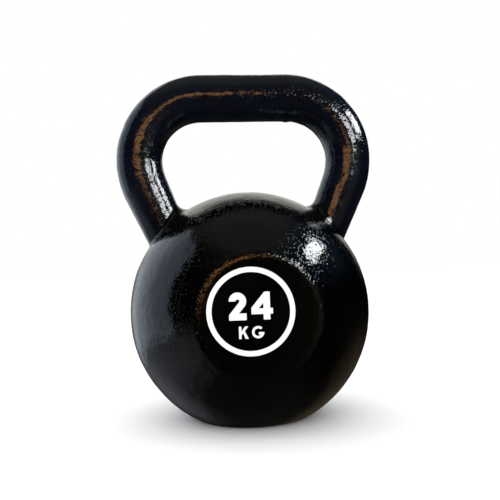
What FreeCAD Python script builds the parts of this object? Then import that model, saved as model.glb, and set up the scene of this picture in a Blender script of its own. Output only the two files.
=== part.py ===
"""Parametric model of a 24 kg cast-iron kettlebell with a black enamel finish.

Frame: millimetres, +Z up, the front flat faces -Y, the handle lies in the XZ plane and the origin is the
centre of the base flat.

The ball is one grey-iron casting with a flat on its front, back and base. The handle is a second casting: a
straight grip, two rounded corners and two legs that lean inwards, each ending in a tenon. The tenons sit in
sockets in the ball, and a weld bead runs round each leg where it enters the ball. A pocket in the base holds
the shot that trims the weight, closed by a pressed plug. The weight is printed in white on the front flat.
"""
import FreeCAD, Part

import math
import os

import Sketcher

DIMENSIONS = {
    # ball
    "ball_radius": 90.5,
    "base_cut": 10.5,  # depth of the base flat's cut into the ball
    "flat_cut": 9.7,  # depth of the front and back flats' cuts
    "flat_rim_radius": 12.0,
    "base_rim_radius": 3.0,
    # handle
    "window_height": 56.0,  # clear height between the ball and the grip
    "grip_half_length": 33.0,
    "grip_diameter": 36.0,
    "corner_radius": 48.0,  # centreline, from the grip to the widest point
    "shoulder_radius": 53.0,  # centreline, from the widest point to the straight leg
    "side_diameter": 34.4,
    "leg_angle": 23.0,  # lean of the leg from vertical
    "leg_seat": 18.1,  # depth of the leg's end below the ball's surface, along the leg
    "foot_diameter": 30.4,
    "tenon_diameter": 24.0,
    "tenon_length": 24.0,
    "socket_clearance": 0.2,
    "socket_end_gap": 1.0,
    "weld_size": 4.0,  # along the leg and along the ball
    # weight trim in the base
    "pocket_diameter": 30.0,
    "pocket_depth": 40.0,
    "shot_gap": 2.0,  # air left above the shot
    "plug_diameter": 38.0,
    "plug_thickness": 4.0,
    "plug_recess": 0.5,
    "plug_chamfer": 0.6,
    "trim_clearance": 0.1,  # round the plug and the shot
    # white print on the front flat
    "print_thickness": 0.15,
    "mark_shift": -5.5,  # centre of the mark beside the ball centre
    "mark_rise": 4.2,  # centre of the mark above the ball centre
    "ring_inner_radius": 25.5,
    "ring_width": 3.4,
    "numeral_height": 18.0,
    "numeral_stroke": 4.4,
    "numeral_rise": 3.5,  # centre of the numerals above the centre of the mark
    "numeral_gap": 3.2,
    "unit_height": 8.0,
    "unit_stroke": 1.6,
    "unit_drop": 13.5,  # centre of the unit letters below the centre of the mark
    "unit_gap": 2.2,
}

# Places that follow from the dimensions, as spreadsheet expressions.
BALL_Z = "(dims.ball_radius - dims.base_cut)"
FLAT_DEPTH = "(dims.ball_radius - dims.flat_cut)"
GRIP_Z = f"({BALL_Z} + dims.ball_radius + dims.window_height + dims.grip_diameter / 2)"
CORNER_Z = f"({GRIP_Z} - dims.corner_radius)"
SIDE_X = "(dims.grip_half_length + dims.corner_radius)"
LEG_X = f"({SIDE_X} - dims.shoulder_radius * (1 - cos(dims.leg_angle)))"
LEG_Z = f"({CORNER_Z} - dims.shoulder_radius * sin(dims.leg_angle))"

# The leg meets the ball where its centreline, offset from the ball's centre, crosses the sphere.
LEG_RISE = f"({LEG_Z} - {BALL_Z})"
LEG_OFFSET = f"({LEG_X} * cos(dims.leg_angle) - {LEG_RISE} * sin(dims.leg_angle))"
LEG_TO_MIDDLE = f"({LEG_X} * sin(dims.leg_angle) + {LEG_RISE} * cos(dims.leg_angle))"
LEG_LENGTH = f"({LEG_TO_MIDDLE} - sqrt(dims.ball_radius ^ 2 - {LEG_OFFSET} ^ 2) + dims.leg_seat)"

doc = FreeCAD.newDocument("Kettlebell")
dims = doc.addObject("Spreadsheet::Sheet", "dims")


def fill_sheet():
    """Writes each driving dimension to a cell of its own, with its name as the alias."""
    for row, (name, value) in enumerate(DIMENSIONS.items(), start=1):
        dims.set(f"A{row}", name)
        dims.set(f"B{row}", str(value))
        dims.setAlias(f"B{row}", name)
    doc.recompute()


def size(name):
    return float(dims.get(name))


def bind(thing, **expressions):
    """Ties properties to expressions. A double underscore in a name stands for a dot."""
    for name, expression in expressions.items():
        thing.setExpression(name.replace("__", "."), expression)


def new_body(label):
    body = doc.addObject("PartDesign::Body", label)
    body.Label = label
    return body


def origin_feature(body, role):
    return next(f for f in body.Origin.OriginFeatures if f.Role == role)


def sketch_on(body, plane, name):
    sketch = body.newObject("Sketcher::SketchObject", name)
    sketch.AttachmentSupport = [(origin_feature(body, plane), "")]
    sketch.MapMode = "FlatFace"
    return sketch


def add_circle(sketch, diameter):
    """A circle on the sketch's origin, its diameter bound to an expression."""
    circle = sketch.addGeometry(Part.Circle(FreeCAD.Vector(0, 0, 0), FreeCAD.Vector(0, 0, 1), 10.0))
    sketch.addConstraint(Sketcher.Constraint("Coincident", circle, 3, -1, 1))
    row = sketch.addConstraint(Sketcher.Constraint("Diameter", circle, 20.0))
    sketch.setExpression(f"Constraints[{row}]", diameter)


def hold(sketch, kind, expression, value, *where):
    """A sized constraint of this kind, bound to an expression."""
    row = sketch.addConstraint(Sketcher.Constraint(kind, *where, value))
    sketch.setExpression(f"Constraints[{row}]", expression)


def circular_edges(shape, axis, height):
    """Names of the round edges about this axis direction whose centre lies at this height along it."""
    straight, level = 1e-6, 1e-4
    names = []
    for number, edge in enumerate(shape.Edges, start=1):
        if edge.Degenerated:
            continue
        curve = edge.Curve
        if isinstance(curve, Part.Circle) and abs(abs(curve.Axis.dot(axis)) - 1) < straight:
            if abs(curve.Center.dot(axis) - height) < level:
                names.append(f"Edge{number}")
    return names


def make_ball():
    """The ball: a sphere cut by three flats, with two leg sockets and the trim pocket."""
    body = new_body("ball")

    profile = sketch_on(body, "XZ_Plane", "ball_profile")
    radius = size("ball_radius")
    height = radius - size("base_cut")
    base = math.sqrt(radius**2 - height**2)
    corners = [FreeCAD.Vector(0, 0, 0), FreeCAD.Vector(base, 0, 0), FreeCAD.Vector(0, height + radius, 0)]
    centre = FreeCAD.Vector(0, height, 0)
    floor = profile.addGeometry(Part.LineSegment(corners[0], corners[1]))
    start = math.atan2(-height, base)
    circle = Part.Circle(centre, FreeCAD.Vector(0, 0, 1), radius)
    arc = profile.addGeometry(Part.ArcOfCircle(circle, start, math.pi / 2))
    spine = profile.addGeometry(Part.LineSegment(corners[2], corners[0]))
    profile.addConstraint(Sketcher.Constraint("Coincident", floor, 1, -1, 1))
    profile.addConstraint(Sketcher.Constraint("Coincident", floor, 2, arc, 1))
    profile.addConstraint(Sketcher.Constraint("Coincident", arc, 2, spine, 1))
    profile.addConstraint(Sketcher.Constraint("Coincident", spine, 2, -1, 1))
    profile.addConstraint(Sketcher.Constraint("Horizontal", floor))
    profile.addConstraint(Sketcher.Constraint("Vertical", spine))
    profile.addConstraint(Sketcher.Constraint("PointOnObject", arc, 3, -2))
    hold(profile, "Radius", "dims.ball_radius", radius, arc)
    hold(profile, "DistanceY", BALL_Z, height, -1, 1, arc, 3)
    sphere = body.newObject("PartDesign::Revolution", "sphere")
    sphere.Profile = profile
    sphere.ReferenceAxis = (profile, ["V_Axis"])
    sphere.Angle = 360
    doc.recompute()

    outline = sketch_on(body, "XZ_Plane", "flat_outline")
    bind(outline, AttachmentOffset__Base__z=FLAT_DEPTH, AttachmentOffset__Base__y=BALL_Z)
    add_circle(outline, "2 * dims.ball_radius")
    flat = body.newObject("PartDesign::Pocket", "front_flat")
    flat.Profile = outline
    flat.Type = "ThroughAll"
    flat.Reversed = True
    doc.recompute()
    pair = body.newObject("PartDesign::Mirrored", "front_and_back_flats")
    pair.Originals = [flat]
    pair.MirrorPlane = (origin_feature(body, "XZ_Plane"), [""])
    body.Tip = pair
    doc.recompute()

    flat_depth = radius - size("flat_cut")
    for name, axis, places, rim in (
        ("flat_rims", FreeCAD.Vector(0, 1, 0), (-flat_depth, flat_depth), "dims.flat_rim_radius"),
        ("base_rim", FreeCAD.Vector(0, 0, 1), (0.0,), "dims.base_rim_radius"),
    ):
        before = body.Tip
        fillet = body.newObject("PartDesign::Fillet", name)
        edges = [edge for place in places for edge in circular_edges(before.Shape, axis, place)]
        fillet.Base = (before, edges)
        bind(fillet, Radius=rim)
        doc.recompute()

    sockets(body)

    for name, diameter, depth in (
        ("plug_seat", "dims.plug_diameter", "dims.plug_recess + dims.plug_thickness"),
        ("shot_pocket", "dims.pocket_diameter", "dims.pocket_depth"),
    ):
        mouth = sketch_on(body, "XY_Plane", f"{name}_outline")
        add_circle(mouth, diameter)
        pocket = body.newObject("PartDesign::Pocket", name)
        pocket.Profile = mouth
        pocket.Reversed = True
        bind(pocket, Length=depth)
        doc.recompute()
    return body


def leg_sketch(body, name, side="right"):
    """A sketch in the XZ plane whose local X axis runs down one leg from the end of the shoulder."""
    sketch = sketch_on(body, "XZ_Plane", name)
    sign = {"right": 1, "left": -1}[side]
    bind(sketch, AttachmentOffset__Base__x=f"{sign} * {LEG_X}", AttachmentOffset__Base__y=LEG_Z)
    bind(sketch, AttachmentOffset__Rotation__Angle=f"0 - (90 + {sign} * dims.leg_angle)")
    return sketch


def stepped_profile(sketch, steps):
    """A closed half-profile along local X. Each step is a pair of expressions, for X and for the radius."""
    count = len(steps)
    points = [FreeCAD.Vector(5.0 * n, 3.0 + n % 2, 0) for n in range(count)]
    points = [FreeCAD.Vector(0, 0, 0), *points, FreeCAD.Vector(5.0 * count, 0, 0)]
    lines = []
    for start, end in zip(points, points[1:] + points[:1]):
        lines.append(sketch.addGeometry(Part.LineSegment(start, end)))
    for first, second in zip(lines, lines[1:] + lines[:1]):
        sketch.addConstraint(Sketcher.Constraint("Coincident", first, 2, second, 1))
    sketch.addConstraint(Sketcher.Constraint("Vertical", lines[0]))
    sketch.addConstraint(Sketcher.Constraint("Vertical", lines[-2]))
    sketch.addConstraint(Sketcher.Constraint("PointOnObject", lines[0], 1, -1))
    sketch.addConstraint(Sketcher.Constraint("PointOnObject", lines[-1], 1, -1))
    for line, (along, radius) in zip(lines, steps):
        for kind, expression in (("DistanceX", along), ("DistanceY", radius)):
            hold(sketch, kind, expression, 1.0, -1, 1, line, 2)


def sockets(body):
    """Cuts the two leg sockets: a taper that clears the leg, then a bore that clears the tenon."""
    outline = leg_sketch(body, "socket_outline")
    steps = (
        ("0", "dims.side_diameter / 2 + dims.socket_clearance"),
        (LEG_LENGTH, "dims.foot_diameter / 2 + dims.socket_clearance"),
        (LEG_LENGTH, "dims.tenon_diameter / 2 + dims.socket_clearance"),
        (
            f"{LEG_LENGTH} + dims.tenon_length + dims.socket_end_gap",
            "dims.tenon_diameter / 2 + dims.socket_clearance",
        ),
    )
    stepped_profile(outline, steps)
    doc.recompute()
    socket = body.newObject("PartDesign::Groove", "right_socket")
    socket.Profile = outline
    socket.ReferenceAxis = (outline, ["H_Axis"])
    socket.Angle = 360
    doc.recompute()
    both = body.newObject("PartDesign::Mirrored", "both_sockets")
    both.Originals = [socket]
    both.MirrorPlane = (origin_feature(body, "YZ_Plane"), [""])
    body.Tip = both
    doc.recompute()


def make_handle():
    """The handle: half a grip, a corner, a shoulder and a leg with its tenon, then the same mirrored."""
    body = new_body("handle")

    grip_section = sketch_on(body, "YZ_Plane", "grip_section")
    bind(grip_section, AttachmentOffset__Base__y=GRIP_Z)
    add_circle(grip_section, "dims.grip_diameter")
    grip = body.newObject("PartDesign::Pad", "grip")
    grip.Profile = grip_section
    bind(grip, Length="dims.grip_half_length")
    doc.recompute()

    path = sketch_on(body, "XZ_Plane", "corner_path")
    bind(path, AttachmentOffset__Base__x="dims.grip_half_length", AttachmentOffset__Base__y=CORNER_Z)
    circle = Part.Circle(FreeCAD.Vector(), FreeCAD.Vector(0, 0, 1), size("corner_radius"))
    arc = path.addGeometry(Part.ArcOfCircle(circle, 0, math.pi / 2))
    path.addConstraint(Sketcher.Constraint("Coincident", arc, 3, -1, 1))
    path.addConstraint(Sketcher.Constraint("PointOnObject", arc, 1, -1))
    path.addConstraint(Sketcher.Constraint("PointOnObject", arc, 2, -2))
    hold(path, "Radius", "dims.corner_radius", size("corner_radius"), arc)
    corner_start = sketch_on(body, "YZ_Plane", "corner_start")
    bind(corner_start, AttachmentOffset__Base__y=GRIP_Z, AttachmentOffset__Base__z="dims.grip_half_length")
    add_circle(corner_start, "dims.grip_diameter")
    corner_end = sketch_on(body, "XY_Plane", "corner_end")
    bind(corner_end, AttachmentOffset__Base__x=SIDE_X, AttachmentOffset__Base__z=CORNER_Z)
    add_circle(corner_end, "dims.side_diameter")
    doc.recompute()
    corner = body.newObject("PartDesign::AdditivePipe", "corner")
    corner.Profile = corner_start
    corner.Spine = (path, ["Edge1"])
    corner.Transformation = "Multisection"
    corner.Sections = [(corner_end, [""])]
    doc.recompute()

    shoulder_section = sketch_on(body, "XY_Plane", "shoulder_section")
    bind(shoulder_section, AttachmentOffset__Base__x=SIDE_X, AttachmentOffset__Base__z=CORNER_Z)
    add_circle(shoulder_section, "dims.side_diameter")
    pivot = shoulder_section.addGeometry(
        Part.LineSegment(FreeCAD.Vector(-50, -10, 0), FreeCAD.Vector(-50, 10, 0)), True
    )
    shoulder_section.addConstraint(Sketcher.Constraint("Symmetric", pivot, 1, pivot, 2, -1))
    hold(shoulder_section, "DistanceX", "dims.shoulder_radius", 50.0, pivot, 1, -1, 1)
    hold(shoulder_section, "DistanceY", "dims.side_diameter", 20.0, pivot, 1, pivot, 2)
    shoulder = body.newObject("PartDesign::Revolution", "shoulder")
    shoulder.Profile = shoulder_section
    shoulder.ReferenceAxis = (shoulder_section, ["Axis0"])
    bind(shoulder, Angle="dims.leg_angle")
    doc.recompute()

    outline = leg_sketch(body, "leg_outline")
    steps = (
        ("0", "dims.side_diameter / 2"),
        (LEG_LENGTH, "dims.foot_diameter / 2"),
        (LEG_LENGTH, "dims.tenon_diameter / 2"),
        (f"{LEG_LENGTH} + dims.tenon_length", "dims.tenon_diameter / 2"),
    )
    stepped_profile(outline, steps)
    doc.recompute()
    leg = body.newObject("PartDesign::Revolution", "leg_and_tenon")
    leg.Profile = outline
    leg.ReferenceAxis = (outline, ["H_Axis"])
    leg.Angle = 360
    doc.recompute()

    halves = body.newObject("PartDesign::Mirrored", "both_halves")
    halves.Originals = [grip, corner, shoulder, leg]
    halves.MirrorPlane = (origin_feature(body, "YZ_Plane"), [""])
    body.Tip = halves
    doc.recompute()
    return body


def make_root_weld(side):
    """A weld bead round one leg: the corner between ball and leg is bevelled, then both are taken away."""
    body = new_body(f"{side}_root_weld")

    ball_core = body.newObject("PartDesign::AdditiveSphere", f"{side}_ball_core")
    bind(ball_core, Radius="dims.ball_radius", Placement__Base__z=BALL_Z)
    doc.recompute()

    steps = (
        ("0", "dims.side_diameter / 2"),
        (LEG_LENGTH, "dims.foot_diameter / 2"),
    )
    outline = leg_sketch(body, f"{side}_leg_core_outline", side)
    stepped_profile(outline, steps)
    doc.recompute()
    leg_core = body.newObject("PartDesign::Revolution", f"{side}_leg_core")
    leg_core.Profile = outline
    leg_core.ReferenceAxis = (outline, ["H_Axis"])
    leg_core.Angle = 360
    doc.recompute()

    corner = [
        f"Edge{number}"
        for number, edge in enumerate(leg_core.Shape.Edges, start=1)
        if not edge.Degenerated and not isinstance(edge.Curve, (Part.Circle, Part.Line))
    ]
    bead = body.newObject("PartDesign::Chamfer", f"{side}_bead")
    bead.Base = (leg_core, corner)
    bind(bead, Size="dims.weld_size")
    doc.recompute()

    without_ball = body.newObject("PartDesign::SubtractiveSphere", f"{side}_without_ball")
    bind(without_ball, Radius="dims.ball_radius", Placement__Base__z=BALL_Z)
    doc.recompute()

    taken = leg_sketch(body, f"{side}_leg_taken_outline", side)
    stepped_profile(taken, steps)
    doc.recompute()
    without_leg = body.newObject("PartDesign::Groove", f"{side}_without_leg")
    without_leg.Profile = taken
    without_leg.ReferenceAxis = (taken, ["H_Axis"])
    without_leg.Angle = 360
    doc.recompute()
    return body


def make_trim():
    """The shot that trims the weight, and the pressed plug that keeps it in the base."""
    shot = new_body("trim_shot")
    shot_outline = sketch_on(shot, "XY_Plane", "shot_outline")
    bind(shot_outline, AttachmentOffset__Base__z="dims.plug_recess + dims.plug_thickness")
    add_circle(shot_outline, "dims.pocket_diameter - 2 * dims.trim_clearance")
    fill = shot.newObject("PartDesign::Pad", "shot_fill")
    fill.Profile = shot_outline
    bind(fill, Length="dims.pocket_depth - dims.plug_recess - dims.plug_thickness - dims.shot_gap")

    plug = new_body("trim_plug")
    plug_outline = sketch_on(plug, "XY_Plane", "plug_outline")
    bind(plug_outline, AttachmentOffset__Base__z="dims.plug_recess")
    add_circle(plug_outline, "dims.plug_diameter - 2 * dims.trim_clearance")
    disc = plug.newObject("PartDesign::Pad", "plug_disc")
    disc.Profile = plug_outline
    bind(disc, Length="dims.plug_thickness")
    doc.recompute()
    rim = plug.newObject("PartDesign::Chamfer", "plug_rim")
    rim.Base = (disc, circular_edges(disc.Shape, FreeCAD.Vector(0, 0, 1), size("plug_recess")))
    bind(rim, Size="dims.plug_chamfer")
    doc.recompute()
    return [shot, plug]


def mark_sketch(body, rise="0"):
    """A sketch on the front flat, its origin on the centre of the mark or above it by the rise."""
    sketch = sketch_on(body, "XZ_Plane", f"{body.Label}_outline")
    bind(
        sketch,
        AttachmentOffset__Base__x="dims.mark_shift",
        AttachmentOffset__Base__y=f"{BALL_Z} + dims.mark_rise + {rise}",
        AttachmentOffset__Base__z=FLAT_DEPTH,
    )
    return sketch


def add_ink(body, sketch):
    ink = body.newObject("PartDesign::Pad", f"{body.Label}_ink")
    ink.Profile = sketch
    bind(ink, Length="dims.print_thickness")
    doc.recompute()


def make_ring_print():
    body = new_body("front_ring_print")
    sketch = mark_sketch(body)
    add_circle(sketch, "2 * dims.ring_inner_radius")
    add_circle(sketch, "2 * (dims.ring_inner_radius + dims.ring_width)")
    add_ink(body, sketch)
    return body


def closed_loop(start, *steps):
    """Edges of a closed outline. A step is the next point, or an arc: a point on it and its end."""
    edges = []
    here = FreeCAD.Vector(*start)
    for step in (*steps, start):
        if isinstance(step[0], tuple):
            middle, end = (FreeCAD.Vector(*point) for point in step)
            edges.append(Part.Arc(here, middle, end))
        else:
            end = FreeCAD.Vector(*step)
            edges.append(Part.LineSegment(here, end))
        here = end
    return edges


def polar(centre, radius, degrees):
    """A point of a circle, by its angle from +X."""
    angle = math.radians(degrees)
    return (centre[0] + radius * math.cos(angle), centre[1] + radius * math.sin(angle))


def shift(loops, dx, dy):
    """Moves an outline within its sketch."""
    for loop in loops:
        for edge in loop:
            edge.translate(FreeCAD.Vector(dx, dy, 0))


def figure_two(height, stroke):
    """A bowl, a straight neck square to the bowl's end, and a foot. Returns its loops and its width."""
    width = 0.63 * height
    outer = width / 2
    inner = outer - stroke
    centre = (outer, height - outer)
    turn = -40.0  # where the bowl ends and the neck begins
    fall = (math.sin(math.radians(turn)), -math.cos(math.radians(turn)))
    outside = polar(centre, outer, turn)
    inside = polar(centre, inner, turn)
    to_foot = (stroke - outside[1]) / fall[1]
    to_side = -inside[0] / fall[0]
    loop = closed_loop(
        (0, 0),
        (width, 0),
        (width, stroke),
        (outside[0] + to_foot * fall[0], stroke),
        outside,
        (polar(centre, outer, 70), polar(centre, outer, 180)),
        polar(centre, inner, 180),
        (polar(centre, inner, 70), inside),
        (0, inside[1] + to_side * fall[1]),
    )
    return [loop], width


def figure_four(height, stroke):
    """A stem, a crossbar and a slanted arm round a three-cornered hole. Returns its loops and its width."""
    width = 0.78 * height
    low = 0.2 * height
    high = low + 0.85 * stroke
    stem = width - stroke - 0.1 * height
    top = (stem + 0.2 * stroke, height)
    heel = (0, high + 0.1 * stroke)
    length = math.dist(top, heel)
    slope = ((top[0] - heel[0]) / length, (top[1] - heel[1]) / length)
    edge = (heel[0] + 0.9 * stroke * slope[1], heel[1] - 0.9 * stroke * slope[0])
    counter_x = edge[0] + (high - edge[1]) / slope[1] * slope[0]
    counter_y = edge[1] + (stem - edge[0]) / slope[0] * slope[1]
    loop = closed_loop(
        (0, low),
        (stem, low),
        (stem, 0),
        (stem + stroke, 0),
        (stem + stroke, low),
        (width, low),
        (width, high),
        (stem + stroke, high),
        (stem + stroke, height),
        top,
        heel,
    )
    counter = closed_loop((counter_x, high), (stem, high), (stem, counter_y))
    return [loop, counter], width


def letter_k(height, stroke):
    """A stem with two arms that meet it above its middle. Returns its loops and its width."""
    width = 0.78 * height
    reach = 1.28 * stroke
    loop = closed_loop(
        (0, 0),
        (stroke, 0),
        (stroke, 0.29 * height),
        (stroke + 0.14 * height, 0.46 * height),
        (width - reach, 0),
        (width, 0),
        (0.47 * height, 0.62 * height),
        (0.97 * width, height),
        (0.97 * width - reach, height),
        (stroke, 0.59 * height),
        (stroke, height),
        (0, height),
    )
    return [loop], width


def letter_g(height, stroke):
    """A ring open at the upper right, with a bar into its middle. Returns its loops and its width."""
    outer = height / 2
    inner = outer - stroke
    centre = (outer, outer)
    bar = math.degrees(math.asin(stroke / inner))
    loop = closed_loop(
        polar(centre, outer, 45),
        (polar(centre, outer, 180), polar(centre, outer, 360)),
        (centre[0] + 0.1 * outer, centre[1]),
        (centre[0] + 0.1 * outer, centre[1] - stroke),
        polar(centre, inner, -bar),
        (polar(centre, inner, 180), polar(centre, inner, 45)),
    )
    return [loop], 2 * outer


def make_text_print(label, shapes, kind, rise):
    """Sets figures or letters in a row, centred on the mark."""
    height, stroke, gap = size(f"{kind}_height"), size(f"{kind}_stroke"), size(f"{kind}_gap")
    glyphs = [shape(height, stroke) for shape in shapes]
    place = -(sum(width for _, width in glyphs) + gap * (len(glyphs) - 1)) / 2
    body = new_body(label)
    sketch = mark_sketch(body, rise)
    for loops, width in glyphs:
        shift(loops, place, -height / 2)
        for edge in (edge for loop in loops for edge in loop):
            sketch.addGeometry(edge)
        place += width + gap
    add_ink(body, sketch)
    return body


def check_and_write(bodies):
    """Stops if an object failed or a shape isn't one sound piece, then writes each body's own file."""
    for thing in doc.Objects:
        if {"Invalid", "Error"} & set(thing.State):
            raise RuntimeError(f"{thing.Label} failed: {thing.State}")
    for body in bodies:
        if body.Shape.isNull() or not body.Shape.isValid() or not body.Shape.Solids:
            raise RuntimeError(f"{body.Label} has no sound solid")
    os.makedirs("parts", exist_ok=True)
    for body in bodies:
        body.Shape.exportStep(f"parts/{body.Label}.step")
        print(f"{body.Label}: {len(body.Shape.Solids)} solid(s), {body.Shape.Volume / 1000:.2f} cm3")


fill_sheet()
ball = make_ball()
handle = make_handle()
welds = [make_root_weld(side) for side in ("left", "right")]
shot, plug = make_trim()
ring = make_ring_print()
numerals = make_text_print("front_weight_numerals", (figure_two, figure_four), "numeral", "dims.numeral_rise")
letters = make_text_print("front_unit_letters", (letter_k, letter_g), "unit", "0 - dims.unit_drop")
check_and_write([ball, handle, *welds, shot, plug, ring, numerals, letters])
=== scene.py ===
"""A 24 kg cast-iron kettlebell in gloss black enamel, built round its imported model.

Metres, +Z up, the front flat faces -Y. The sections follow the order in which the object is put
together: the ball casting, the handle casting, the weld beads that join them, the trim in the base,
the white print, and then the studio.
"""
import bpy
import math

from mathutils import Matrix, Quaternion, Vector


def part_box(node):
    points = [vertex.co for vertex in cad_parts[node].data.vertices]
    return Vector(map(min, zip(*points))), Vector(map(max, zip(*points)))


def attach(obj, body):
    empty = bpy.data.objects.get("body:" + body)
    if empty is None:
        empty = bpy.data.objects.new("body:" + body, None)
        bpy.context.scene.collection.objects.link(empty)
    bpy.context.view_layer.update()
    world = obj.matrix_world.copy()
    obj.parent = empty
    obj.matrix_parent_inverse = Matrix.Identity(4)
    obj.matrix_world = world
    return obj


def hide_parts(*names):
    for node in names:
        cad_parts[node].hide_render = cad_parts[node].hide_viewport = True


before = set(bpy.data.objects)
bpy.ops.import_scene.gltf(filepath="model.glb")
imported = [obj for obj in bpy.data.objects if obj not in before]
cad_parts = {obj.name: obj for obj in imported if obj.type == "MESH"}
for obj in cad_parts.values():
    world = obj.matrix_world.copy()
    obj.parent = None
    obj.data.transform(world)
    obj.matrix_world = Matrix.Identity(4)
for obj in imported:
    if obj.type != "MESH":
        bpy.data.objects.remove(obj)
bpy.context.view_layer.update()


# --------------------------------------------------------------------------------------------------
# The ball: one grey-iron sand casting, a sphere with a flat on its front and back, a base flat to
# stand on, two sockets for the handle and a trim pocket. It is fettled, then dipped in gloss black
# enamel.
# --------------------------------------------------------------------------------------------------
def deselect_all():
    if bpy.context.mode != "OBJECT":
        bpy.ops.object.mode_set(mode="OBJECT")
    bpy.ops.object.select_all(action="DESELECT")


def take(name):
    """Names the object that an operator has just added, and returns it."""
    piece = bpy.context.active_object
    piece.name = name
    piece.data.name = name
    return piece


def select_only(piece):
    deselect_all()
    piece.select_set(True)
    bpy.context.view_layer.objects.active = piece


def edit(piece):
    select_only(piece)
    bpy.ops.object.mode_set(mode="EDIT")


def pick(piece, kind, test):
    """Selects, in edit mode, only the vertices or the polygons whose centre passes the test."""
    bpy.ops.mesh.select_mode(type={"vertices": "VERT", "polygons": "FACE"}[kind])
    bpy.ops.mesh.select_all(action="DESELECT")
    bpy.ops.object.mode_set(mode="OBJECT")
    for part in getattr(piece.data, kind):
        part.select = test(part.co if kind == "vertices" else part.center)
    bpy.ops.object.mode_set(mode="EDIT")


def apply_modifiers(piece):
    select_only(piece)
    for modifier in list(piece.modifiers):
        bpy.ops.object.modifier_apply(modifier=modifier.name)


def settle(piece):
    """Puts the piece's place into its mesh, so that its object sits at the origin unturned."""
    select_only(piece)
    bpy.ops.object.transform_apply(location=True, rotation=True, scale=True)


def roughen(piece, name, grain, depth, group=""):
    """Moves the surface in and out, as a sand mould leaves it, in lumps of the grain's size."""
    texture = bpy.data.textures.new(name, "CLOUDS")
    texture.noise_scale = grain
    texture.noise_depth = 2
    lumps = piece.modifiers.new(name, "DISPLACE")
    lumps.texture = texture
    lumps.texture_coords = "LOCAL"
    lumps.strength = depth
    lumps.mid_level = 0.5
    if group:
        lumps.vertex_group = group


def cut_with(piece, cutter):
    """Takes the cutter's volume out of the piece and removes the cutter."""
    cut = piece.modifiers.new("cut", "BOOLEAN")
    cut.operation = "DIFFERENCE"
    cut.solver = "EXACT"
    cut.object = cutter
    apply_modifiers(piece)
    bpy.data.objects.remove(cutter)


ball_radius = 0.0905
ball_centre = Vector((0, 0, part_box("ball")[1].z - ball_radius))
base_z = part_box("ball")[0].z
flat_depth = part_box("ball")[1].y
flat_rim = 0.012
flat_band = 0.0006
flat_share = 0.25
base_rim_height = 0.0004
profile_points = 440
rim_steps = 6
flat_cuts = 26
ball_rings = 380
merge_gap = 1e-6
same_place = 1e-5

rim_y = flat_depth - flat_rim
rim_radius = math.sqrt((ball_radius - flat_rim) ** 2 - rim_y**2)
rim_turn = math.atan2(rim_radius, rim_y)
tangent_y = ball_radius * math.cos(rim_turn)

deselect_all()
bpy.ops.mesh.primitive_circle_add(
    vertices=profile_points,
    radius=ball_radius,
    location=ball_centre,
    rotation=(0, math.pi / 2, 0),
)
ball = take("ball_casting")
settle(ball)
edit(ball)
for plane_point, plane_side in (
    (ball_centre, Vector((0, 0, 1))),
    (Vector((0, -tangent_y, 0)), Vector((0, 1, 0))),
    (Vector((0, tangent_y, 0)), Vector((0, -1, 0))),
):
    bpy.ops.mesh.select_all(action="SELECT")
    bpy.ops.mesh.bisect(
        plane_co=plane_point, plane_no=plane_side, clear_inner=True, threshold=merge_gap
    )
for side in (-1, 1):
    pick(ball, "vertices", lambda co: abs(co.y - side * tangent_y) < same_place)
    bpy.ops.mesh.spin(
        steps=rim_steps,
        angle=rim_turn * side,
        center=(0, side * rim_y, ball_centre.z + rim_radius),
        axis=(1, 0, 0),
    )
    bpy.ops.mesh.extrude_region_move(TRANSFORM_OT_translate={"value": (0, 0, -rim_radius)})
    pick(ball, "vertices", lambda co: abs(co.y - side * flat_depth) < same_place)
    bpy.ops.mesh.subdivide(number_cuts=flat_cuts)
bpy.ops.mesh.select_all(action="SELECT")
bpy.ops.mesh.spin(steps=ball_rings, angle=2 * math.pi, center=ball_centre, axis=(0, 1, 0))
bpy.ops.mesh.select_all(action="SELECT")
bpy.ops.mesh.remove_doubles(threshold=merge_gap)
bpy.ops.mesh.normals_make_consistent(inside=False)
bpy.ops.object.mode_set(mode="OBJECT")
off_flat = ball.vertex_groups.new(name="off_flat")
for vertex in ball.data.vertices:
    weight = 1.0 if abs(vertex.co.y) < flat_depth - flat_band else flat_share
    off_flat.add([vertex.index], weight, "REPLACE")
roughen(ball, "ball_swell", grain=0.022, depth=0.0006, group="off_flat")
roughen(ball, "ball_sand", grain=0.006, depth=0.00025, group="off_flat")
apply_modifiers(ball)
edit(ball)
bpy.ops.mesh.select_all(action="SELECT")
bpy.ops.mesh.bisect(
    plane_co=(0, 0, base_z + base_rim_height),
    plane_no=(0, 0, 1),
    clear_inner=True,
    use_fill=True,
    threshold=merge_gap,
)
for inset, drop in ((0.0005, 0.6), (0.0009, 0.4)):
    bpy.ops.mesh.inset(thickness=inset, depth=0)
    bpy.ops.transform.translate(value=(0, 0, -drop * base_rim_height))
bpy.ops.object.mode_set(mode="OBJECT")

plug_low, plug_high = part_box("trim_plug")
plug_radius = plug_high.x
trim_gap = 0.0001
pocket_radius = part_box("trim_shot")[1].x + trim_gap
pocket_top = 0.040
cutter_sides = 96
for radius, top in ((plug_radius + trim_gap, plug_high.z), (pocket_radius, pocket_top)):
    deselect_all()
    bpy.ops.mesh.primitive_cylinder_add(
        vertices=cutter_sides, radius=radius, depth=2 * top, location=(0, 0, base_z)
    )
    cut_with(ball, take("trim_cutter"))

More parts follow.
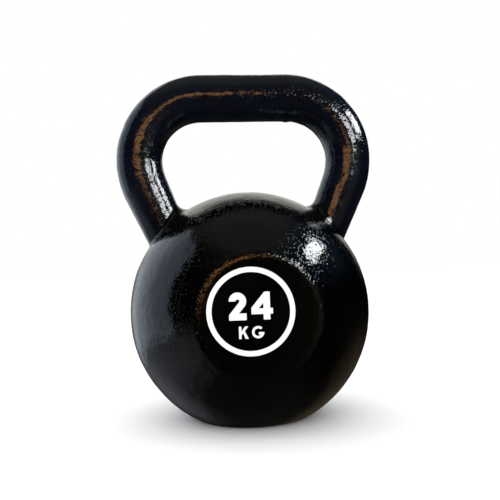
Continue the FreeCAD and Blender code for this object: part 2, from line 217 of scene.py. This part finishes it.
side_radius = 0.0172
leg_angle = math.radians(23)
corner_radius = 0.048
shoulder_radius = 0.053
grip_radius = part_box("handle")[1].y
grip_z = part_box("handle")[1].z - grip_radius
side_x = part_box("handle")[1].x - side_radius
corner_z = grip_z - corner_radius
leg_start = Vector((
    side_x - shoulder_radius * (1 - math.cos(leg_angle)),
    0,
    corner_z - shoulder_radius * math.sin(leg_angle),
))
leg_along = Vector((-math.sin(leg_angle), 0, -math.cos(leg_angle)))
foot_radius = 0.0152
leg_seat = 0.0181
to_middle = (ball_centre - leg_start).dot(leg_along)
offset = (ball_centre - leg_start - to_middle * leg_along).length
leg_to_ball = to_middle - math.sqrt(ball_radius**2 - offset**2)
leg_length = leg_to_ball + leg_seat
tenon_radius = 0.012
tenon_length = 0.024
socket_gap = 0.0002
socket_end_gap = 0.001
cut_overlap = 0.001


def on_side(point, side):
    return Vector((side * point.x, point.y, point.z))


for side in (-1, 1):
    along = on_side(leg_along, side)
    start = on_side(leg_start, side)
    turn = along.to_track_quat("Z", "Y").to_euler()
    tenon_room = tenon_length + socket_end_gap
    for low_radius, high_radius, begin, length in (
        (side_radius, foot_radius, 0, leg_length),
        (tenon_radius, tenon_radius, leg_length - cut_overlap, tenon_room + cut_overlap),
    ):
        deselect_all()
        bpy.ops.mesh.primitive_cone_add(
            vertices=cutter_sides,
            radius1=low_radius + socket_gap,
            radius2=high_radius + socket_gap,
            depth=length,
            location=start + (begin + length / 2) * along,
            rotation=turn,
        )
        cut_with(ball, take("socket_cutter"))


def socket(node, name):
    return next(s for s in node.inputs if s.name == name and s.enabled)


def new_material(name):
    """A new node material. Returns it, its principled shader and a function that adds nodes."""
    material = bpy.data.materials.new(name)
    material.use_nodes = True
    tree = material.node_tree
    shader = tree.nodes["Principled BSDF"]

    def add(kind, links=(), **values):
        node = tree.nodes.new(kind)
        for key, value in values.items():
            if key in {s.name.replace(" ", "_") for s in node.inputs}:
                socket(node, key.replace("_", " ")).default_value = value
            else:
                setattr(node, key, value)
        for source, target in links:
            tree.links.new(source, socket(node, target))
        return node

    add.link = tree.links.new
    return material, shader, add


def make_enamel(name, deep, pale, rim=None):
    """Gloss black enamel on a sand-cast skin: orange peel, grains, pinholes and duller patches.

    The rim is the centre, radius and spread of a ring round Y where the sand is coarser.
    """
    enamel, shader, add = new_material(name)
    place = add("ShaderNodeTexCoord").outputs["Object"]
    shader.inputs["IOR"].default_value = 1.5

    patches = add("ShaderNodeTexNoise", [(place, "Vector")], Scale=38, Detail=4, Roughness=0.6)
    tint = add("ShaderNodeValToRGB", [(patches.outputs["Fac"], "Fac")])
    for stop, position, colour in zip(tint.color_ramp.elements, (0.35, 0.7), (deep, pale)):
        stop.position = position
        stop.color = (*colour, 1)
    add.link(tint.outputs["Color"], shader.inputs["Base Color"])
    gloss = add(
        "ShaderNodeMapRange",
        [(patches.outputs["Fac"], "Value")],
        From_Min=0.3,
        From_Max=0.7,
        To_Min=0.04,
        To_Max=0.1,
    )
    add.link(gloss.outputs["Result"], shader.inputs["Roughness"])

    def spots(scale, size, share):
        """Round spots of this share of the cells: 1 at the middle of a spot and 0 outside it."""
        cells = add("ShaderNodeTexVoronoi", [(place, "Vector")], Scale=scale)
        dome = add(
            "ShaderNodeMapRange",
            [(cells.outputs["Distance"], "Value")],
            From_Max=size,
            To_Min=1,
            To_Max=0,
            interpolation_type="SMOOTHSTEP",
        )
        chance = add("ShaderNodeSeparateColor", [(cells.outputs["Color"], "Color")])
        chosen = add("ShaderNodeMath", [(chance.outputs["Red"], "Value")], operation="LESS_THAN")
        chosen.inputs[1].default_value = share
        spot = add("ShaderNodeMath", [(dome.outputs["Result"], "Value")], operation="MULTIPLY")
        add.link(chosen.outputs["Value"], spot.inputs[1])
        return spot.outputs["Value"]

    swell = add("ShaderNodeTexNoise", [(place, "Vector")], Scale=130, Detail=2, Roughness=0.5)
    peel = add("ShaderNodeTexNoise", [(place, "Vector")], Scale=560, Detail=1, Roughness=0.5)
    bumps = [
        (swell.outputs["Fac"], 0.00012),
        (peel.outputs["Fac"], 0.00012),
        (spots(420, 0.35, 0.5), 0.00009),
        (spots(800, 0.4, 0.5), 0.00008),
        (spots(230, 0.16, 0.3), -0.00012),
    ]
    calm = None
    if rim:
        # The mould leaves coarser sand in the rounded rims of the two flats, and the flats inside
        # them are smoother.
        centre, radius, spread = rim
        across = add("ShaderNodeMapping", [(place, "Vector")])
        across.inputs["Location"].default_value = (-centre.x, 0, -centre.z)
        across.inputs["Scale"].default_value = (1, 0, 1)
        reach = add(
            "ShaderNodeVectorMath", [(across.outputs["Vector"], "Vector")], operation="LENGTH"
        )
        away = reach.outputs["Value"]
        calm = add(
            "ShaderNodeMapRange",
            [(away, "Value")],
            From_Min=radius - spread,
            From_Max=radius,
            To_Min=0.3,
            To_Max=1,
        )
        off_rim = add("ShaderNodeMath", [(away, "Value")], operation="SUBTRACT")
        off_rim.inputs[1].default_value = radius
        gap = add("ShaderNodeMath", [(off_rim.outputs["Value"], "Value")], operation="ABSOLUTE")
        on_rim = add(
            "ShaderNodeMapRange",
            [(gap.outputs["Value"], "Value")],
            From_Max=spread,
            To_Min=1,
            To_Max=0,
            interpolation_type="SMOOTHSTEP",
        )
        sand = add("ShaderNodeTexNoise", [(place, "Vector")], Scale=480, Detail=1, Roughness=0.5)
        pebbles = add("ShaderNodeMath", [(sand.outputs["Fac"], "Value")], operation="MULTIPLY")
        add.link(on_rim.outputs["Result"], pebbles.inputs[1])
        bumps.append((pebbles.outputs["Value"], 0.0005))
    bump_normal = None
    for height, depth in bumps:
        bump = add(
            "ShaderNodeBump",
            [(height, "Height")],
            Strength=1.0,
            Distance=abs(depth),
            invert=depth < 0,
        )
        if calm:
            add.link(calm.outputs["Result"], bump.inputs["Strength"])
        if bump_normal:
            add.link(bump_normal, bump.inputs["Normal"])
        bump_normal = bump.outputs["Normal"]
    add.link(bump_normal, shader.inputs["Normal"])
    return enamel


rim_middle = 0.0415
rim_spread = 0.0045
enamel = make_enamel(
    "gloss_black_enamel",
    deep=(0.0001, 0.0001, 0.0001),
    pale=(0.0008, 0.0008, 0.0007),
    rim=(ball_centre, rim_middle, rim_spread),
)


def finish_with(piece, material):
    """Gives the piece its finish, and smooth shading wherever its faces meet within 40 degrees."""
    piece.data.materials.clear()
    piece.data.materials.append(material)
    select_only(piece)
    bpy.ops.object.shade_smooth_by_angle(angle=math.radians(40))


finish_with(ball, enamel)
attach(ball, "root")
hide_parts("ball")


# --------------------------------------------------------------------------------------------------
# The handle: a second iron casting, a straight grip, two corners and two legs that lean in towards
# the ball. Each leg ends in a tenon that seats in the ball. The mould's parting line, ground low,
# is left round it, and so are three small lumps.
# --------------------------------------------------------------------------------------------------
grip_half = side_x - corner_radius
section_sides = 96
grip_steps, corner_steps, shoulder_steps, leg_steps, tenon_steps = 22, 60, 14, 34, 4

deselect_all()
bpy.ops.mesh.primitive_circle_add(
    vertices=section_sides,
    radius=grip_radius,
    location=(0, 0, grip_z),
    rotation=(0, math.pi / 2, 0),
)
handle = take("handle_casting")
settle(handle)
edit(handle)
bpy.ops.mesh.select_all(action="SELECT")


def extrude_straight(step, centre, grow):
    """Extrudes the end loop by a step and scales it about its new centre, which it returns."""
    bpy.ops.mesh.extrude_region_move(TRANSFORM_OT_translate={"value": step})
    centre = centre + step
    bpy.ops.transform.resize(value=(grow, grow, grow), center_override=centre)
    return centre


def extrude_bend(pivot, degrees, centre, grow):
    """Extrudes the end loop round a pivot and scales it about its new centre, which it returns."""
    bpy.ops.mesh.extrude_region_move(TRANSFORM_OT_translate={"value": (0, 0, 0)})
    bpy.ops.transform.rotate(value=-math.radians(degrees), orient_axis="Y", center_override=pivot)
    centre = pivot + Matrix.Rotation(math.radians(degrees), 3, "Y") @ (centre - pivot)
    bpy.ops.transform.resize(value=(grow, grow, grow), center_override=centre)
    return centre


end = Vector((0, 0, grip_z))
for _ in range(grip_steps):
    end = extrude_straight(Vector((grip_half / grip_steps, 0, 0)), end, 1)
corner_grow = (side_radius / grip_radius) ** (1 / corner_steps)
for _ in range(corner_steps):
    end = extrude_bend(Vector((grip_half, 0, corner_z)), 90 / corner_steps, end, corner_grow)
for _ in range(shoulder_steps):
    pivot = Vector((side_x - shoulder_radius, 0, corner_z))
    end = extrude_bend(pivot, math.degrees(leg_angle) / shoulder_steps, end, 1)
radius = side_radius
for step in range(leg_steps):
    next_radius = side_radius + (foot_radius - side_radius) * (step + 1) / leg_steps
    end = extrude_straight(leg_along * leg_length / leg_steps, end, next_radius / radius)
    radius = next_radius
end = extrude_straight(Vector((0, 0, 0)), end, tenon_radius / foot_radius)
for _ in range(tenon_steps):
    end = extrude_straight(leg_along * tenon_length / tenon_steps, end, 1)
bpy.ops.mesh.edge_face_add()
bpy.ops.object.mode_set(mode="OBJECT")

halves = handle.modifiers.new("halves", "MIRROR")
halves.use_axis = (True, False, False)
halves.merge_threshold = same_place
apply_modifiers(handle)
edit(handle)
bpy.ops.mesh.select_all(action="SELECT")
bpy.ops.mesh.remove_doubles(threshold=merge_gap)
bpy.ops.mesh.normals_make_consistent(inside=False)

parting_height = 0.00018
parting_band = 0.0001
seat_margin = 0.004
seat_z = leg_start.z - (leg_to_ball - seat_margin) * math.cos(leg_angle)
pick(handle, "vertices", lambda co: abs(co.y) < parting_band and co.z > seat_z)
bpy.ops.transform.shrink_fatten(value=parting_height)
for x, z, height, spread in (
    (-grip_half, grip_z - grip_radius, 0.0009, 0.005),
    (grip_half, grip_z - grip_radius, 0.0009, 0.005),
    (0.026, grip_z + grip_radius, 0.0005, 0.004),
):
    lump = Vector((x, 0, z))
    nearest = min(handle.data.vertices, key=lambda v: (v.co - lump).length).co.copy()
    pick(handle, "vertices", lambda co: (co - nearest).length < merge_gap)
    bpy.ops.transform.translate(
        value=(0, 0, height if z > grip_z else -height),
        use_proportional_edit=True,
        proportional_edit_falloff="SMOOTH",
        proportional_size=spread,
    )
bpy.ops.object.mode_set(mode="OBJECT")
in_air = handle.vertex_groups.new(name="in_air")
for vertex in handle.data.vertices:
    in_air.add([vertex.index], 1.0 if vertex.co.z > seat_z else 0.0, "REPLACE")
roughen(handle, "handle_swell", grain=0.018, depth=0.0006, group="in_air")
roughen(handle, "handle_sand", grain=0.006, depth=0.0003, group="in_air")
apply_modifiers(handle)
# The handle's copy of the enamel has a blue tint in its colour: a painted reflection of bluish light
# in the handle's gloss and shade, not a different paint.
handle_enamel_painted_blue = make_enamel(
    "blue_black_enamel", deep=(0.0016, 0.0022, 0.0046), pale=(0.0030, 0.0040, 0.0078)
)
finish_with(handle, handle_enamel_painted_blue)
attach(handle, "root")
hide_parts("handle")


# --------------------------------------------------------------------------------------------------
# The root welds: a bead of weld metal round each leg where it enters the ball. It is ground to a
# hollow that is wide on the inner side and narrow on the outer side, and enamelled over.
# --------------------------------------------------------------------------------------------------
bead_rings = 144
bead_face_points = 13
bead_back_points = 3
section_points = bead_face_points + bead_back_points
meeting_passes = 12
bead_outer_width, bead_inner_width = 0.0025, 0.0125
bead_bury = 0.00025
bead_root = 0.0012


def leg_radius(distance):
    return side_radius + (foot_radius - side_radius) * distance / leg_length


def place_bead_ring(around, side):
    """Points of one section: a hollow face from leg to ball, then back through the root."""
    across = Vector((-leg_along.z, 0, leg_along.x))
    outward = math.cos(around) * across + math.sin(around) * Vector((0, 1, 0))
    distance = leg_to_ball
    for _ in range(meeting_passes):
        reach = leg_radius(distance) * outward
        to_centre = ball_centre - leg_start - reach
        middle = to_centre.dot(leg_along)
        off_line = to_centre - middle * leg_along
        distance = middle - math.sqrt(ball_radius**2 - off_line.length_squared)
    inwards = (1 - math.cos(around)) / 2
    width = bead_outer_width + (bead_inner_width - bead_outer_width) * inwards**2
    corner = leg_start + distance * leg_along + leg_radius(distance) * outward
    up_leg = leg_start + (distance - width) * leg_along
    up_leg += (leg_radius(distance - width) - bead_bury) * outward
    normal = (corner - ball_centre).normalized()
    away = (outward - outward.dot(normal) * normal).normalized()
    turn = width / ball_radius
    spoke = math.cos(turn) * normal + math.sin(turn) * away
    on_ball = ball_centre + (ball_radius - bead_bury) * spoke
    points = []
    for step in range(bead_face_points):
        t = step / (bead_face_points - 1)
        points.append((1 - t) ** 2 * up_leg + 2 * t * (1 - t) * corner + t**2 * on_ball)
    points.append(on_ball - bead_root * normal)
    points.append(corner - bead_root * normal - bead_root * outward)
    points.append(up_leg - bead_root * outward)
    return [on_side(point, side) for point in points]


for side, name in ((-1, "left"), (1, "right")):
    deselect_all()
    bpy.ops.mesh.primitive_torus_add(
        location=on_side(leg_start + leg_to_ball * leg_along, side),
        major_radius=side_radius,
        minor_radius=bead_root,
        major_segments=bead_rings,
        minor_segments=section_points,
    )
    bead = take(f"{name}_root_bead")
    settle(bead)
    for ring in range(bead_rings):
        points = place_bead_ring(2 * math.pi * ring / bead_rings, side)
        for number, point in enumerate(points):
            bead.data.vertices[ring * section_points + number].co = point
    edit(bead)
    bpy.ops.mesh.select_all(action="SELECT")
    bpy.ops.mesh.normals_make_consistent(inside=False)
    bpy.ops.object.mode_set(mode="OBJECT")
    roughen(bead, f"{name}_bead_sand", grain=0.006, depth=0.0003)
    apply_modifiers(bead)
    finish_with(bead, enamel)
    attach(bead, "root")
    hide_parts(f"{name}_root_weld")


# --------------------------------------------------------------------------------------------------
# The trim: iron shot poured into the pocket in the base until the casting weighs true. A pressed
# steel plug, painted black, is driven in to hold it.
# --------------------------------------------------------------------------------------------------
def make_shot_iron():
    iron, shader, add = new_material("bare_iron_shot")
    place = add("ShaderNodeTexCoord").outputs["Object"]
    shader.inputs["Metallic"].default_value = 1.0
    grains = add("ShaderNodeTexVoronoi", [(place, "Vector")], Scale=420)
    shade = add("ShaderNodeValToRGB", [(grains.outputs["Distance"], "Fac")])
    shade.color_ramp.elements[0].color = (0.32, 0.3, 0.28, 1)
    shade.color_ramp.elements[1].color = (0.1, 0.09, 0.085, 1)
    add.link(shade.outputs["Color"], shader.inputs["Base Color"])
    shader.inputs["Roughness"].default_value = 0.5
    bump = add(
        "ShaderNodeBump",
        [(grains.outputs["Distance"], "Height")],
        Strength=1.0,
        Distance=0.0015,
        invert=True,
    )
    add.link(bump.outputs["Normal"], shader.inputs["Normal"])
    return iron


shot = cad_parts["trim_shot"]
shot.data.materials.clear()
shot.data.materials.append(make_shot_iron())

plug_sides = 96
plug_middle = 0.0001
plug_round, plug_round_steps = 0.0003, 3
deselect_all()
bpy.ops.mesh.primitive_cylinder_add(
    vertices=plug_sides,
    radius=plug_radius,
    depth=plug_high.z - plug_low.z,
    location=(0, 0, (plug_low.z + plug_high.z) / 2),
)
plug = take("pressed_plug")
settle(plug)
edit(plug)
pick(
    plug,
    "polygons",
    lambda co: co.z < plug_low.z + same_place and math.hypot(co.x, co.y) < plug_middle,
)
for inset, lift in ((0.0006, 0.0), (0.0035, 0.0), (0.0012, 0.0009), (0.004, 0.0001), (0.005, 0.0)):
    bpy.ops.mesh.inset(thickness=inset, depth=0)
    bpy.ops.transform.translate(value=(0, 0, lift))
bpy.ops.object.mode_set(mode="OBJECT")
rounding = plug.modifiers.new("rounding", "BEVEL")
rounding.width = plug_round
rounding.segments = plug_round_steps
rounding.limit_method = "ANGLE"
apply_modifiers(plug)
finish_with(plug, enamel)
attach(plug, "root")
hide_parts("trim_plug")


# --------------------------------------------------------------------------------------------------
# The print: matt white ink screen-printed on the front flat over the enamel, a plain ring with the
# weight inside it. The ink is a thin raised layer that has dried slightly uneven.
# --------------------------------------------------------------------------------------------------
def make_ink():
    ink, shader, add = new_material("matt_white_ink")
    place = add("ShaderNodeTexCoord").outputs["Object"]
    cover = add("ShaderNodeTexNoise", [(place, "Vector")], Scale=900, Detail=3, Roughness=0.7)
    shade = add("ShaderNodeValToRGB", [(cover.outputs["Fac"], "Fac")])
    shade.color_ramp.elements[0].position = 0.25
    shade.color_ramp.elements[0].color = (0.66, 0.66, 0.65, 1)
    shade.color_ramp.elements[1].position = 0.5
    shade.color_ramp.elements[1].color = (0.82, 0.82, 0.81, 1)
    add.link(shade.outputs["Color"], shader.inputs["Base Color"])
    dull = add("ShaderNodeMapRange", [(cover.outputs["Fac"], "Value")], To_Min=0.5, To_Max=0.75)
    add.link(dull.outputs["Result"], shader.inputs["Roughness"])
    bump = add("ShaderNodeBump", [(cover.outputs["Fac"], "Height")], Strength=0.6, Distance=0.00005)
    add.link(bump.outputs["Normal"], shader.inputs["Normal"])
    return ink


ink = make_ink()
for name in ("front_ring_print", "front_weight_numerals", "front_unit_letters"):
    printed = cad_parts[name]
    printed.data.materials.clear()
    printed.data.materials.append(ink)


# --------------------------------------------------------------------------------------------------
# The studio: a plain pale floor under an overhead diffuser and a front fill. The gloss shows two
# bright strips high on the right, a warm glow in front and the soft patches of a dark room, which
# the camera itself sees as plain white.
# --------------------------------------------------------------------------------------------------
def make_floor_paint():
    paint, shader, add = new_material("pale_floor")
    place = add("ShaderNodeTexCoord").outputs["Object"]
    speckle = add("ShaderNodeTexNoise", [(place, "Vector")], Scale=6, Detail=3)
    shade = add("ShaderNodeMapRange", [(speckle.outputs["Fac"], "Value")], To_Min=0.86, To_Max=0.9)
    tint = add(
        "ShaderNodeCombineColor",
        [(shade.outputs["Result"], channel) for channel in ("Red", "Green", "Blue")],
    )
    add.link(tint.outputs["Color"], shader.inputs["Base Color"])
    shader.inputs["Roughness"].default_value = 0.9
    shader.inputs["Specular IOR Level"].default_value = 0.0
    return paint


floor_size = 40
deselect_all()
bpy.ops.mesh.primitive_plane_add(size=floor_size, location=(0, 0, base_z))
floor = take("floor")
floor.data.materials.append(make_floor_paint())
floor.visible_glossy = False


def towards(azimuth, elevation):
    """Unit vector from the object: azimuth 0 is in front and 90 to the right, elevation is up."""
    a, e = math.radians(azimuth), math.radians(elevation)
    return Vector((math.sin(a) * math.cos(e), -math.cos(a) * math.cos(e), math.sin(e)))


def soft_light(
    name, place, facing, width, height, brightness, colour, in_gloss=True, on_matt=True, tilt=0
):
    """A rectangular light, placed from the ball's centre. A brightness of 1 makes its face white."""
    data = bpy.data.lights.new(name, "AREA")
    data.shape = "RECTANGLE"
    data.size = width
    data.size_y = height
    data.energy = brightness * math.pi * width * height
    data.color = colour
    light = bpy.data.objects.new(name, data)
    bpy.context.scene.collection.objects.link(light)
    light.location = ball_centre + place
    light.rotation_mode = "QUATERNION"
    twist = Quaternion((0, 0, 1), math.radians(tilt))
    light.rotation_quaternion = (-facing).to_track_quat("Z", "Y") @ twist
    light.visible_camera = False
    light.visible_glossy = in_gloss
    light.visible_diffuse = on_matt


strip_white = (0.95, 0.98, 1.0)
strip_facing = Vector((-1, 0.05, -0.04))
strip_tilt = -2.7
for name, place, width, height, brightness in (
    ("right_strip", Vector((0.264, -0.078, 0.250)), 0.14, 0.088, 20),
    ("right_strip_tail", Vector((0.264, -0.440, 0.264)), 0.36, 0.090, 16),
):
    soft_light(
        name,
        place,
        strip_facing,
        width,
        height,
        brightness,
        strip_white,
        on_matt=False,
        tilt=strip_tilt,
    )
for name, place, width, height, brightness, colour, in_gloss, on_matt in (
    ("warm_glow", 1.6 * towards(-13, 17), 0.98, 0.32, 3.2, (1.0, 0.48, 0.17), True, False),
    ("front_fill", 2.0 * towards(0, 25), 2.0, 1.6, 1.2, (1, 1, 1), False, True),
):
    soft_light(name, place, -place, width, height, brightness, colour, in_gloss, on_matt)

sky_strength = 3.7
sky_spread = 150
sky_data = bpy.data.lights.new("overhead_diffuser", "SUN")
sky_data.energy = sky_strength
sky_data.angle = math.radians(sky_spread)
sky = bpy.data.objects.new("overhead_diffuser", sky_data)
bpy.context.scene.collection.objects.link(sky)
sky.visible_glossy = False

room = bpy.data.worlds.new("room")
bpy.context.scene.world = room
room.use_nodes = True
room_tree = room.node_tree
gaze = room_tree.nodes.new("ShaderNodeTexCoord").outputs["Generated"]


def room_maths(operation, first, second=None):
    """Adds a maths node to the room, on one or two values, each a link or a plain number."""
    node = room_tree.nodes.new("ShaderNodeMath")
    node.operation = operation
    for value, entry in ((first, node.inputs[0]), (second, node.inputs[1])):
        if isinstance(value, (int, float)):
            entry.default_value = value
        elif value is not None:
            room_tree.links.new(value, entry)
    return node.outputs["Value"]


def fade(angle, half, edge):
    """1 within the half angle and 0 outside it, over a soft edge, in degrees."""
    node = room_tree.nodes.new("ShaderNodeMapRange")
    node.interpolation_type = "SMOOTHSTEP"
    room_tree.links.new(angle, node.inputs["Value"])
    node.inputs["From Min"].default_value = math.radians(half + edge)
    node.inputs["From Max"].default_value = math.radians(half - edge)
    return node.outputs["Result"]


def panel(total, azimuth, elevation, half_width, half_height, side_edge, top_edge, colour):
    """Adds a soft-edged bright patch to the room's total, by direction and half angles in degrees."""
    turned = room_tree.nodes.new("ShaderNodeVectorRotate")
    turned.rotation_type = "Z_AXIS"
    turned.inputs["Angle"].default_value = math.radians(180 - azimuth)
    room_tree.links.new(gaze, turned.inputs["Vector"])
    parts = room_tree.nodes.new("ShaderNodeSeparateXYZ")
    room_tree.links.new(turned.outputs["Vector"], parts.inputs["Vector"])
    bearing = room_maths("ARCTAN2", parts.outputs["X"], parts.outputs["Y"])
    across = room_maths("ABSOLUTE", bearing)
    height = room_maths("ARCSINE", parts.outputs["Z"])
    up = room_maths("ABSOLUTE", room_maths("SUBTRACT", height, math.radians(elevation)))
    mask = room_maths(
        "MULTIPLY", fade(across, half_width, side_edge), fade(up, half_height, top_edge)
    )
    glow = room_tree.nodes.new("ShaderNodeVectorMath")
    glow.operation = "MULTIPLY_ADD"
    room_tree.links.new(mask, glow.inputs[0])
    glow.inputs[1].default_value = colour
    room_tree.links.new(total, glow.inputs[2])
    return glow.outputs["Vector"]


darkest = (0.003, 0.003, 0.003)
dark = room_tree.nodes.new("ShaderNodeVectorMath")
dark.operation = "ADD"
dark.inputs[0].default_value = darkest
light_map = dark.outputs["Vector"]
for azimuth, elevation, half_width, half_height, side_edge, top_edge, colour in (
    (-118, 17, 35, 33, 2, 5, (0.57, 0.68, 0.83)),
    (-142, 18, 24, 30, 14, 10, (0.38, 0.36, 0.34)),
    (-108, -32, 52, 18, 18, 14, (0.28, 0.29, 0.325)),
    (176, 27, 28, 18, 6, 8, (0.85, 0.85, 0.80)),
    (-6, 4, 5, 6, 1, 3, (1.1, 0.48, 0.16)),
    (0, 90, 180, 32, 1, 12, (0.16, 0.165, 0.145)),
    (0, 45, 55, 15, 12, 12, (0.05, 0.05, 0.043)),
    (0, -5, 40, 40, 12, 25, (0.014, 0.014, 0.011)),
    (36, 8, 22, 26, 8, 12, (0.15, 0.13, 0.10)),
    (20, -40, 50, 8, 12, 6, (0.032, 0.030, 0.025)),
    (142, -28, 30, 14, 20, 10, (0.09, 0.07, 0.045)),
    (85, 40, 40, 20, 14, 10, (0.02, 0.05, 0.10)),
    (0, -90, 180, 38, 1, 14, (0.030, 0.032, 0.029)),
):
    light_map = panel(
        light_map, azimuth, elevation, half_width, half_height, side_edge, top_edge, colour
    )

room_light = room_tree.nodes["Background"]
room_tree.links.new(light_map, room_light.inputs["Color"])
backdrop = room_tree.nodes.new("ShaderNodeBackground")
backdrop.inputs["Color"].default_value = (1, 1, 1, 1)
seen = room_tree.nodes.new("ShaderNodeLightPath")
choose = room_tree.nodes.new("ShaderNodeMixShader")
room_tree.links.new(seen.outputs["Is Camera Ray"], choose.inputs["Fac"])
room_tree.links.new(room_light.outputs["Background"], choose.inputs[1])
room_tree.links.new(backdrop.outputs["Background"], choose.inputs[2])
room_tree.links.new(choose.outputs["Shader"], room_tree.nodes["World Output"].inputs["Surface"])
bpy.context.scene.view_settings.view_transform = "Standard"

camera_lens, camera_sensor = 46.16, 36
camera_distance = 0.4973
camera_azimuth, camera_elevation = -4.49, 3.66
camera_roll = math.radians(-1.85)
aim = Vector((0.00175, 0, ball_centre.z + 0.0463))
lens_data = bpy.data.cameras.new("camera")
lens_data.sensor_width = camera_sensor
lens_data.lens = camera_lens
camera = bpy.data.objects.new("camera", lens_data)
bpy.context.scene.collection.objects.link(camera)
camera.location = ball_centre + camera_distance * towards(camera_azimuth, camera_elevation)
camera.rotation_mode = "QUATERNION"
level = (aim - camera.location).to_track_quat("-Z", "Y")
camera.rotation_quaternion = level @ Quaternion((0, 0, 1), camera_roll)
bpy.context.scene.camera = camera
